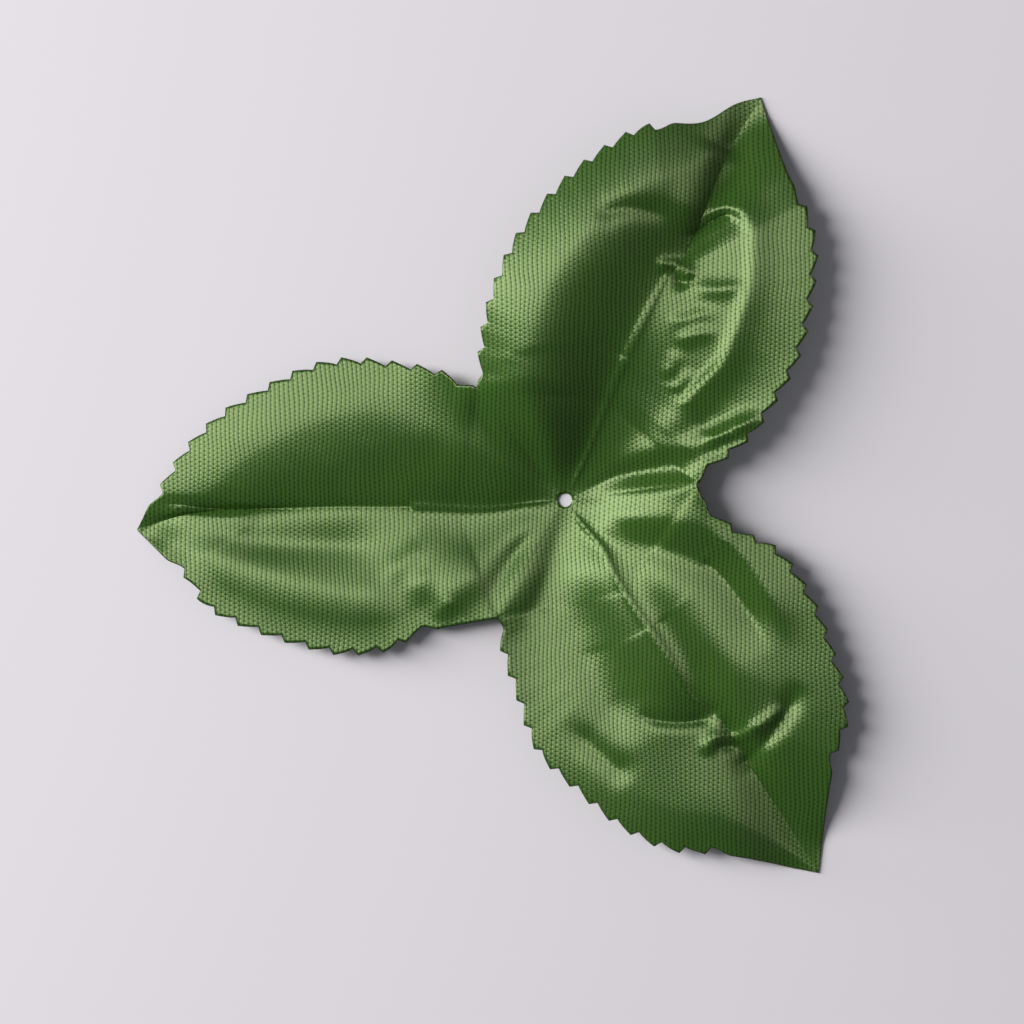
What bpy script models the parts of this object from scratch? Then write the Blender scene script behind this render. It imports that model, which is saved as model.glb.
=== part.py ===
"""Artificial rose leaf: three toothed leaflets cut in one piece from satin cloth and heat-pressed.

The cut plan is laid out about the punched hole, +Y up the upper leaflet's side, then moved so
that the origin is the bottom centre of the whole leaf. Lengths are in millimetres until the mesh
is made. Each leaflet has two halves, on either side of its midrib; a half is a grid whose rows
run from the midrib to the cut edge and whose columns run from the hole to the leaflet's tip.
"""
import math

import bmesh
import bpy
import numpy as np

METRES = 0.001
CLOTH_THICKNESS = 0.65          # the real cloth is about 0.25 mm
SEAM_GAP = 0.02                 # grid points nearer than this are one point of the sheet

# The hub that the three leaflets share
HOLE_RADIUS = 0.85
HUB_FLAT_RADIUS = 3.2
HUB_RISE_LENGTH = 4.5           # over which the relief comes up out of the flat hub
POLAR_REACH = 9.0               # rows follow circles round the hole up to here

# The die's teeth
TOOTH_PITCH = 3.05
TOOTH_DEPTH = 0.8
TOOTH_PEAK = 0.78               # share of the pitch, from the hub side, where a tooth stands out
TOOTH_CURVE = 0.85
TEETH_FADE_IN = 2.0
TEETH_FADE_OUT = 2.5
TEETH_FULL_BREADTH = 7.0        # half-leaflet breadth from which the teeth have their full depth
TOOTH_PULL_BREADTH = 3.2        # the teeth bend the rows less deep where the leaflet is broad
TOOTH_PULL_LIMITS = (1.5, 5.0)

# The pressed relief
PAST_CREST_POWER = 1.5          # how the slope grows from the crest to the edge
TIP_SETTLE = 0.22               # share of the midrib over which the relief settles at the tip
NOTCH_SETTLE = 0.12             # share of the midrib over which the edge leaves its notch's height
SHARP_FALL = 1.6                # how fast a sharp fold falls off beside its line

# The grid of each half
JOIN_COLUMNS = 6
MARGIN_COLUMNS = 52
TOOTH_STEPS = (0.0, 0.4, TOOTH_PEAK)
ROWS = 7
RIB_TO_NOTCH = 12.4             # length of midrib whose rows end on the line to the notch
JOIN_CROWDING = 1.15
RIB_PACE = 0.6                  # the rows lean forward from the midrib, as side veins do,
RIB_RUSH = 5                    # and the midrib's last columns make up for it
PATH_STEPS = 16                 # straight pieces to each point of a smooth line
FOLD_STEPS = 5
HEADING_REACH = 0.3             # a line's heading is read this far before and after a place

# Where two leaflets part: place from the hole, and height
NOTCHES = {
    "north_west": (-10.4, 13.4, 4.2),
    "south_west": (-8.2, -14.2, 2.2),
    "east": (15.8, 1.9, 4.8),
}

# Direction in degrees, and the midrib as distance from the hole and offset to its left
LEAFLETS = {
    "left": {
        "direction": 184.0,
        "rib": [(9.6, 0.3), (17.8, -0.5), (27.1, -1.2), (39.0, -1.7), (45.0, -1.6), (51.5, 0.0)],
    },
    "upper": {
        "direction": 64.1,
        "rib": [(7.5, 0.2), (16.8, 0.9), (28.1, 0.9), (33.4, -0.1), (44.6, 0.6), (53.7, 0.0)],
    },
    "lower": {
        "direction": -55.8,
        "rib": [(6.9, 0.6), (12.0, -0.3), (22.8, -0.5), (27.2, -1.0), (30.6, 0.4), (36.0, 0.6),
                (54.1, 0.0)],
    },
}

# For each half: the line through the teeth from the notch to the tip, as distance along the
# leaflet and out from it; the toothed stretch of that line; the crest's share of the way from
# the midrib to the edge; how hollow the rise to it is; and the heights of midrib, crest and edge
# at even steps from the hub to the tip
HALVES = {
    "left_north": {
        "leaflet": "left",
        "side": -1,
        "notch": "north_west",
        "margin": [(13.9, 16.7), (19.9, 18.2), (25.0, 18.9), (29.6, 18.3), (35.3, 16.1),
                   (40.5, 13.4), (45.0, 9.6), (48.6, 4.8), (51.5, 0.0)],
        "toothed": (2.5, 45.2),
        "crest": 0.62,
        "bow": 1.0,
        "heights": [(0.0, 0.0, 0.0), (0.3, 2.4, 2.8), (0.8, 2.3, 1.6), (0.8, 1.9, 1.1),
                    (0.5, 0.9, 0.5), (0.0, 0.0, 0.0)],
    },
    "left_south": {
        "leaflet": "left",
        "side": 1,
        "notch": "south_west",
        "margin": [(17.4, 14.6), (22.3, 16.6), (27.4, 16.8), (31.1, 16.0),
                   (37.7, 13.5), (43.8, 10.1), (46.1, 6.3), (51.5, 0.0)],
        "toothed": (9.0, 42.0),
        "crest": 0.78,
        "bow": 1.6,
        "heights": [(0.0, 0.0, 0.0), (0.3, 1.8, 1.9), (0.8, 2.2, 2.4), (0.8, 2.0, 2.2),
                    (0.5, 1.0, 1.1), (0.0, 0.0, 0.0)],
    },
    "upper_west": {
        "leaflet": "upper",
        "side": 1,
        "notch": "north_west",
        "margin": [(9.2, 16.2), (16.3, 18.6), (24.5, 19.3), (31.8, 17.9), (37.9, 15.5),
                   (43.7, 11.9), (45.8, 8.8), (47.8, 5.0), (51.6, 2.4), (53.7, 0.0)],
        "toothed": (2.0, 41.0),
        "crest": 0.64,
        "bow": 1.4,
        "heights": [(0.0, 0.0, 0.0), (2.0, 6.1, 6.2), (3.8, 7.1, 5.3), (2.9, 4.7, 3.1),
                    (1.0, 1.5, 1.1), (0.0, 0.0, 0.0)],
    },
    "upper_east": {
        "leaflet": "upper",
        "side": -1,
        "notch": "east",
        "margin": [(10.8, 14.3), (15.9, 16.7), (20.9, 17.6), (27.2, 17.9), (33.6, 16.6),
                   (40.4, 14.0), (44.3, 10.6), (46.9, 6.8), (53.7, 0.0)],
        "toothed": (2.5, 39.0),
        "crest": 0.66,
        "bow": 2.2,
        "heights": [(0.0, 0.0, 0.0), (2.0, 2.6, 4.6), (3.8, 5.3, 5.2), (2.9, 4.3, 2.8),
                    (1.0, 1.4, 0.8), (0.0, 0.0, 0.0)],
    },
    "lower_east": {
        "leaflet": "lower",
        "side": 1,
        "notch": "east",
        "margin": [(9.4, 13.8), (14.1, 15.1), (19.1, 17.9), (25.9, 18.1), (33.0, 16.6),
                   (40.3, 13.8), (44.9, 8.2), (54.1, 0.0)],
        "toothed": (4.0, 40.0),
        "crest": 0.38,
        "bow": 1.2,
        "heights": [(0.0, 0.0, 0.0), (2.4, 3.3, 2.3), (3.3, 4.5, 3.1), (2.4, 3.7, 2.6),
                    (0.6, 1.1, 0.8), (0.0, 0.0, 0.0)],
    },
    "lower_west": {
        "leaflet": "lower",
        "side": -1,
        "notch": "south_west",
        "margin": [(10.0, 16.4), (16.1, 18.2), (22.9, 19.9), (29.7, 18.6), (36.4, 16.6),
                   (41.9, 13.2), (46.5, 7.4), (54.1, 0.0)],
        "toothed": (1.5, 42.0),
        "crest": 0.72,
        "bow": 1.8,
        "heights": [(0.0, 0.0, 0.0), (2.4, 2.6, 2.0), (3.3, 4.0, 3.0), (2.4, 3.3, 2.4),
                    (0.6, 1.1, 0.8), (0.0, 0.0, 0.0)],
    },
}

# Folds that the press and handling left: points on the plan, height of the ridge (a valley's is
# negative), width to its left, width to its right, sharpness, share of its length that fades out
FOLDS = {
    "left_rib": ([(-49.8, -0.2), (-38.9, -1.0), (-27.1, -0.7), (-17.8, -0.7), (-3.0, -0.1)],
                 -0.39, 0.9, 0.9, 1.0, 0.2),
    "left_crest": ([(-46.2, -6.0), (-38.3, -7.7), (-31.6, -10.1), (-24.8, -11.4), (-19.6, -10.6)],
                   0.45, 2.4, 3.6, 0.1, 0.2),
    "left_trough": ([(-43.8, -4.2), (-36.6, -5.4), (-28.2, -5.4), (-21.0, -5.8)],
                    -0.35, 2.2, 2.2, 0.1, 0.3),
    "left_pleat_outer": ([(-22.7, -10.3), (-20.0, -7.9), (-16.9, -5.8), (-13.6, -3.6)],
                         0.3, 1.5, 1.8, 0.1, 0.35),
    "left_pleat_middle": ([(-20.0, -12.0), (-16.9, -9.6), (-14.0, -7.2), (-10.4, -4.6)],
                          0.32, 1.5, 1.8, 0.1, 0.35),
    "left_pleat_inner": ([(-16.4, -12.7), (-14.0, -10.1), (-11.6, -7.4), (-8.5, -4.6)],
                         0.28, 1.4, 1.6, 0.1, 0.35),
    "left_pleat_notch": ([(-16.1, -14.6), (-12.6, -10.8), (-9.0, -7.4)],
                         0.44, 1.4, 1.4, 0.3, 0.3),
    "north_west_tuck": ([(-11.2, 13.4), (-10.0, 10.4), (-8.4, 7.4)],
                        -0.5, 0.9, 0.9, 0.7, 0.4),
    "north_west_ridge": ([(-9.7, 12.7), (-7.3, 10.4), (-4.4, 6.2)],
                         0.55, 0.9, 0.9, 0.7, 0.4),
    "north_west_valley": ([(-7.8, 12.0), (-5.4, 9.0), (-2.4, 5.4), (-0.6, 2.6)],
                          -0.35, 2.2, 2.2, 0.1, 0.4),
    "south_west_tuck": ([(-3.5, -3.8), (-6.2, -6.4), (-7.9, -9.4), (-8.5, -14.4)],
                        -0.8, 1.2, 1.2, 0.3, 0.3),
    "south_west_ridge": ([(-3.0, -6.7), (-4.2, -10.8), (-7.0, -15.5)],
                         0.72, 1.0, 1.6, 0.6, 0.3),
    "upper_crest": ([(16.2, 33.4), (17.6, 34.4), (19.6, 34.9), (21.2, 34.4), (22.3, 32.4),
                     (22.4, 29.3), (22.0, 25.6), (21.0, 22.3), (19.8, 18.8), (18.7, 16.3),
                     (16.8, 14.2), (15.1, 12.4), (13.6, 10.2), (11.6, 8.2), (9.0, 5.8)],
                    0.62, 2.0, 0.9, 0.5, 0.12),
    "upper_pouch": ([(10.4, 28.4), (11.9, 28.1), (13.3, 28.0), (14.5, 27.1), (15.0, 25.9)],
                    0.7, 0.9, 0.9, 0.8, 0.25),
    "upper_hem_pleat": ([(6.8, 5.3), (9.7, 5.6), (14.5, 6.2), (18.0, 7.4), (20.6, 8.6),
                         (24.4, 10.7)],
                        0.9, 1.2, 0.9, 0.6, 0.2),
    "east_fold": ([(2.9, 1.7), (4.8, 2.6), (6.7, 3.4), (9.0, 3.7), (12.1, 3.2),
                   (14.9, 2.4), (16.2, 1.9)],
                  -0.9, 0.9, 1.5, 0.35, 0.25),
    "upper_rib_step": ([(14.0, 31.4), (15.5, 35.0), (17.2, 37.9), (18.4, 40.8), (19.1, 42.5)],
                       0.8, 2.0, 2.4, 0.1, 0.25),
    "upper_west_arc": ([(3.1, 33.4), (7.3, 34.9), (14.0, 33.7)],
                       -0.39, 1.2, 1.2, 0.4, 0.3),
    "lower_hook": ([(16.9, -29.4), (18.7, -28.4), (20.9, -28.3), (22.9, -27.2), (24.7, -25.9),
                    (25.8, -24.2)],
                   0.7, 0.9, 0.9, 0.8, 0.2),
    "lower_crease": ([(8.5, -25.3), (10.8, -26.3), (13.8, -26.6), (16.2, -26.3), (17.9, -25.8)],
                     -0.6, 0.9, 0.9, 0.6, 0.3),
    "lower_tip_arc": ([(19.6, -33.1), (22.9, -30.2), (26.2, -25.9), (28.3, -21.7)],
                      -0.7, 1.3, 1.0, 0.4, 0.25),
    "lower_crest": ([(9.0, -7.9), (11.6, -10.6), (15.0, -14.6), (18.6, -18.2), (22.8, -21.4),
                     (27.0, -22.8)],
                    0.35, 2.2, 3.0, 0.1, 0.3),
    "lower_crest_tuck": ([(4.4, -6.2), (6.8, -5.4), (9.7, -5.0), (12.2, -5.4), (14.8, -6.4),
                          (17.2, -7.6), (19.1, -9.4), (21.2, -12.1), (22.8, -14.9), (24.4, -18.6)],
                         -0.7, 0.9, 2.6, 0.3, 0.2),
    "lower_rim_ridge": ([(4.2, -3.4), (6.8, -2.4), (10.2, -2.5), (13.2, -3.1), (16.4, -3.8),
                         (19.3, -5.3), (21.6, -7.4), (23.8, -10.6), (25.6, -13.9), (27.0, -18.0)],
                        0.6, 2.6, 0.9, 0.3, 0.2),
    "upper_wrinkle_north": ([(15.0, 25.8), (17.2, 25.2), (19.6, 25.3), (21.6, 25.9)],
                            0.24, 1.2, 1.4, 0.2, 0.35),
    "upper_wrinkle_south": ([(13.1, 18.5), (14.5, 19.4), (16.2, 19.9), (18.8, 20.0)],
                            0.24, 1.0, 1.3, 0.2, 0.35),
    "lower_west_hollow": ([(-0.6, -7.8), (1.6, -13.8), (3.7, -19.8), (6.0, -25.2), (9.0, -30.0)],
                          -0.65, 3.6, 2.8, 0.0, 0.3),
    "lower_rib_ridge": ([(0.8, -1.4), (3.0, -5.4), (5.6, -9.0), (9.0, -14.6), (11.4, -18.2),
                         (14.4, -22.8), (18.0, -25.6)],
                        0.9, 2.2, 4.0, 0.25, 0.2),
    "lower_west_trough": ([(-0.4, -26.4), (4.6, -30.7), (8.3, -34.0)],
                          -0.39, 1.6, 1.6, 0.3, 0.3),
}

CLOTH_COLOUR = (0.061, 0.156, 0.032, 1.0)
CLOTH_ROUGHNESS = 0.42


def ease(share):
    """0 to 1 with level ends."""
    share = np.clip(share, 0.0, 1.0)
    return share * share * (3.0 - 2.0 * share)


def spline(knots, places):
    """Catmull-Rom curve through the knots, read at places from 0 to the last knot's number."""
    knots = np.asarray(knots, float)
    number = np.clip(np.floor(places).astype(int), 0, len(knots) - 2)
    t = (places - number)[:, None]
    ends = np.vstack([2 * knots[0] - knots[1], knots, 2 * knots[-1] - knots[-2]])
    a, b, c, d = (ends[number + step] for step in range(4))
    cubic = (3 * b - a - 3 * c + d) * t**3
    return 0.5 * (2 * b + (c - a) * t + (2 * a - 5 * b + 4 * c - d) * t**2 + cubic)


class Path:
    """A smooth line through points, read by the distance along it."""

    def __init__(self, points):
        places = np.linspace(0.0, len(points) - 1.0, PATH_STEPS * len(points))
        self.line = spline(points, places)
        steps = np.hypot(*np.diff(self.line, axis=0).T)
        self.way = np.concatenate([[0.0], np.cumsum(steps)])
        self.length = self.way[-1]

    def at(self, distance):
        """Points at these distances."""
        return np.column_stack([np.interp(distance, self.way, axis) for axis in self.line.T])

    def right(self, distance):
        """Unit vectors to the right of the way."""
        step = self.at(distance + HEADING_REACH) - self.at(distance - HEADING_REACH)
        step /= np.hypot(*step.T)[:, None]
        return np.column_stack([step[:, 1], -step[:, 0]])


def margin_distances(length, toothed, teeth):
    """Columns along a margin: a few before the teeth, some on each tooth, the rest to the tip."""
    first, last = toothed
    spare = MARGIN_COLUMNS - teeth * len(TOOTH_STEPS)
    lead = max(1, round(spare * first / (first + length - last)))
    before = np.linspace(0.0, first, lead + 1)[1:-1]
    pitch = (last - first) / teeth
    on_teeth = [first + (number + step) * pitch for number in range(teeth) for step in TOOTH_STEPS]
    after = np.linspace(last, length, MARGIN_COLUMNS - len(before) - len(on_teeth))
    return np.concatenate([before, on_teeth, after])


def tooth_bite(distance, toothed, teeth):
    """How far the cut edge lies inside the line through the teeth."""
    first, last = toothed
    share = ((distance - first) / (last - first) * teeth) % 1.0
    long_side = (share / TOOTH_PEAK) ** TOOTH_CURVE
    short_side = (1.0 - share) / (1.0 - TOOTH_PEAK)
    bite = 1.0 - np.where(share < TOOTH_PEAK, long_side, short_side)
    bite = np.where(distance < first, ease(1.0 + (distance - first) / TEETH_FADE_IN), bite)
    after_teeth = ease(1.0 - (distance - last) / TEETH_FADE_OUT)
    return TOOTH_DEPTH * np.where(distance >= last, after_teeth, bite)


def half_surface(half):
    """Plan places and height of one half's grid, columns by rows, before the folds."""
    leaflet = LEAFLETS[half["leaflet"]]
    turn = math.radians(leaflet["direction"])
    forward = np.array([math.cos(turn), math.sin(turn)])
    left = np.array([-forward[1], forward[0]])
    outward = half["side"] * left
    *notch, notch_height = NOTCHES[half["notch"]]
    notch = np.array(notch)
    notch_distance = np.hypot(*notch)

    # The half's outer line: from the hole to the notch, then along the cut edge to the tip
    margin = Path([(notch @ forward, notch @ outward), *half["margin"]])
    first, last = half["toothed"]
    teeth = round((last - first) / TOOTH_PITCH)
    along = margin_distances(margin.length, half["toothed"], teeth)
    bite = tooth_bite(along, half["toothed"], teeth)
    crowded = np.linspace(0.0, 1.0, JOIN_COLUMNS + 1) ** JOIN_CROWDING
    join = HOLE_RADIUS + (notch_distance - HOLE_RADIUS) * crowded
    cut = margin.at(along) @ np.array([forward, outward])
    edge = np.vstack([join[:, None] * notch / notch_distance, cut])
    inward = margin.right(along) @ np.array([forward, outward])

    # The midrib, with as many columns
    rib_path = Path([(HOLE_RADIUS, 0.0), *leaflet["rib"]])
    near_hub = RIB_TO_NOTCH * crowded
    step = np.linspace(0.0, 1.0, len(along) + 1)[1:]
    lean = RIB_PACE * step + (1.0 - RIB_PACE) * step**RIB_RUSH
    to_tip = near_hub[-1] + (rib_path.length - near_hub[-1]) * lean
    rib_way = np.concatenate([near_hub, to_tip])
    rib = rib_path.at(rib_way) @ np.array([forward, left])

    # The teeth bite in at right angles to the edge, and less where the leaflet is narrow
    breadth = np.maximum(np.hypot(*(edge - rib).T), 1.0)
    narrow = ease(breadth[len(join):] / TEETH_FULL_BREADTH)
    pull = np.vstack([np.zeros((len(join), 2)), inward * (bite * narrow)[:, None]])

    # Rows run straight from the midrib to the edge, and on circles round the hole
    rows = np.linspace(0.0, 1.0, ROWS + 1)
    plan = rib[:, None] + rows[None, :, None] * (edge - rib)[:, None]
    edge_turn = math.atan2(notch[1], notch[0])
    swing = (edge_turn - turn + math.pi) % math.tau - math.pi
    rib_reach = np.hypot(*rib.T)
    reach = rib_reach[:, None] + rows * (np.hypot(*edge.T) - rib_reach)[:, None]
    turns = turn + swing * rows
    circles = np.stack([reach * np.cos(turns), reach * np.sin(turns)], axis=-1)
    straight = ease((rib_reach - HOLE_RADIUS) / POLAR_REACH)[:, None, None]
    plan = circles + straight * (plan - circles)
    near_edge = rows ** np.clip(breadth / TOOTH_PULL_BREADTH, *TOOTH_PULL_LIMITS)[:, None]
    plan = plan + pull[:, None, :] * near_edge[..., None]

    # Heights: up from the midrib to the crest, then down to the edge
    share = rib_way / rib_path.length
    stations = len(half["heights"]) - 1.0
    rib_z, crest_z, edge_z = spline(half["heights"], share * stations).T
    notch_share = share[JOIN_COLUMNS]
    leave = ease((share - notch_share) / NOTCH_SETTLE)
    join_z = notch_height * ease(np.hypot(*edge.T) / notch_distance)
    margin_z = notch_height + leave * (edge_z - notch_height)
    edge_z = np.where(np.arange(len(share)) <= JOIN_COLUMNS, join_z, margin_z)
    crest = half["crest"]
    tip_z = half["heights"][-1][0]
    settle = ease((1.0 - share) / TIP_SETTLE)
    rib_z, crest_z, edge_z = (tip_z + settle * (z - tip_z) for z in (rib_z, crest_z, edge_z))
    across = rows - near_edge * (np.hypot(*pull.T) / breadth)[:, None]
    up = np.sin(0.5 * math.pi * np.clip(across / crest, 0.0, 1.0) ** half["bow"])
    down = np.clip((across - crest) / (1.0 - crest), 0.0, 1.0) ** PAST_CREST_POWER
    height = rib_z[:, None] + (crest_z - rib_z)[:, None] * up + (edge_z - crest_z)[:, None] * down
    return plan, height


def fold_relief(plan, points, height, left_width, right_width, sharpness, fade):
    """Height that one fold adds at each place of the plan."""
    line = spline(points, np.linspace(0.0, len(points) - 1.0, FOLD_STEPS * len(points)))
    nearest = np.full(plan.shape[:-1], np.inf)
    side = np.zeros(nearest.shape)
    way = np.zeros(nearest.shape)
    last = len(line) - 1
    for number in range(last):
        step = line[number + 1] - line[number]
        offset = plan - line[number]
        share = np.clip(offset @ step / (step @ step), 0.0, 1.0)
        apart = offset - share[..., None] * step
        distance = np.hypot(apart[..., 0], apart[..., 1])
        closer = distance < nearest
        nearest = np.where(closer, distance, nearest)
        side = np.where(closer, step[0] * apart[..., 1] - step[1] * apart[..., 0], side)
        way = np.where(closer, (number + share) / last, way)
    across = nearest / np.where(side > 0.0, left_width, right_width)
    profile = (1.0 - sharpness) * np.exp(-across**2) + sharpness * np.exp(-SHARP_FALL * across)
    return height * profile * ease(way / fade) * ease((1.0 - way) / fade)


def pressed_half(half):
    """A half with all its folds, level round the hole and nowhere below the table."""
    plan, height = half_surface(half)
    for fold in FOLDS.values():
        height = height + fold_relief(plan, *fold)
    from_hub = np.hypot(plan[..., 0], plan[..., 1]) - HUB_FLAT_RADIUS
    height = np.maximum(height, 0.0) * ease(from_hub / HUB_RISE_LENGTH)
    return np.concatenate([plan, height[..., None]], axis=-1)


def add_half(sheet, points):
    """Lays a flat grid over a half's points, facing up."""
    columns, rows = points.shape[:2]
    grid = bmesh.ops.create_grid(sheet, x_segments=columns - 1, y_segments=rows - 1, size=0.5)
    for vert in grid["verts"]:
        column = round((vert.co.x + 0.5) * (columns - 1))
        row = round((vert.co.y + 0.5) * (rows - 1))
        vert.co = points[column, row] * METRES


def cloth_material():
    """Green satin cloth."""
    material = bpy.data.materials.new("green_satin_cloth")
    material.use_nodes = True
    shader = material.node_tree.nodes["Principled BSDF"]
    shader.inputs["Base Color"].default_value = CLOTH_COLOUR
    shader.inputs["Roughness"].default_value = CLOTH_ROUGHNESS
    shader.inputs["Metallic"].default_value = 0.0
    material.diffuse_color = CLOTH_COLOUR
    return material


def leaf_sheet():
    """The whole leaf as one sheet of cloth with its thickness."""
    surfaces = [pressed_half(half) for half in HALVES.values()]
    corners = np.concatenate([points.reshape(-1, 3) for points in surfaces])
    centre = (corners.min(axis=0) + corners.max(axis=0)) / 2.0
    centre[2] = 0.0

    sheet = bmesh.new()
    for points in surfaces:
        add_half(sheet, points - centre)
    bmesh.ops.remove_doubles(sheet, verts=sheet.verts, dist=SEAM_GAP * METRES)
    bmesh.ops.recalc_face_normals(sheet, faces=sheet.faces)
    if sum(face.normal.z for face in sheet.faces) < 0.0:
        bmesh.ops.reverse_faces(sheet, faces=sheet.faces)
    bmesh.ops.triangulate(sheet, faces=sheet.faces)
    mesh = bpy.data.meshes.new("leaf_sheet")
    sheet.to_mesh(mesh)
    sheet.free()
    mesh.shade_smooth()

    leaf = bpy.data.objects.new("leaf_sheet", mesh)
    leaf.data.materials.append(cloth_material())
    thickness = leaf.modifiers.new("cloth thickness", "SOLIDIFY")
    thickness.thickness = CLOTH_THICKNESS * METRES
    thickness.offset = 1.0
    thickness.use_even_offset = True
    return leaf


def main():
    for old in list(bpy.data.objects):
        bpy.data.objects.remove(old, do_unlink=True)
    parts = bpy.data.collections.new("artificial_rose_leaf")
    bpy.context.scene.collection.children.link(parts)
    parts.objects.link(leaf_sheet())


main()
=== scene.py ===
# Fabric rose leaf: the woven satin, its pressed relief and cut edges, with light and camera
import math

import bmesh
import bpy
import numpy as np
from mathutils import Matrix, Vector


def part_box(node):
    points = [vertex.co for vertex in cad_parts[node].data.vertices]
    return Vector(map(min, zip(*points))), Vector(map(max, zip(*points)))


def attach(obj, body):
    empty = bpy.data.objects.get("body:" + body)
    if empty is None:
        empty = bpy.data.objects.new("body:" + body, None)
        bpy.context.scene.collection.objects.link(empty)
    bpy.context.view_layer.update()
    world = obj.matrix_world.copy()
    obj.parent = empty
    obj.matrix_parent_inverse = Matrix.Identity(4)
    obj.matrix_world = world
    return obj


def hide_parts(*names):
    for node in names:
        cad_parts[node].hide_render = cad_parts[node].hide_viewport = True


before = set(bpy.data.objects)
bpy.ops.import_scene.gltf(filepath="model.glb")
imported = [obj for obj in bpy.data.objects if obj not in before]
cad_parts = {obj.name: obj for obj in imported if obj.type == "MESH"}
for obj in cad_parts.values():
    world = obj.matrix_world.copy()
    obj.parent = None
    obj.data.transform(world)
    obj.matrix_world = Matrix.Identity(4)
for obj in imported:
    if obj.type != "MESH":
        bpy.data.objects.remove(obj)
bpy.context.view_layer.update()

mm = 0.001

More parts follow.
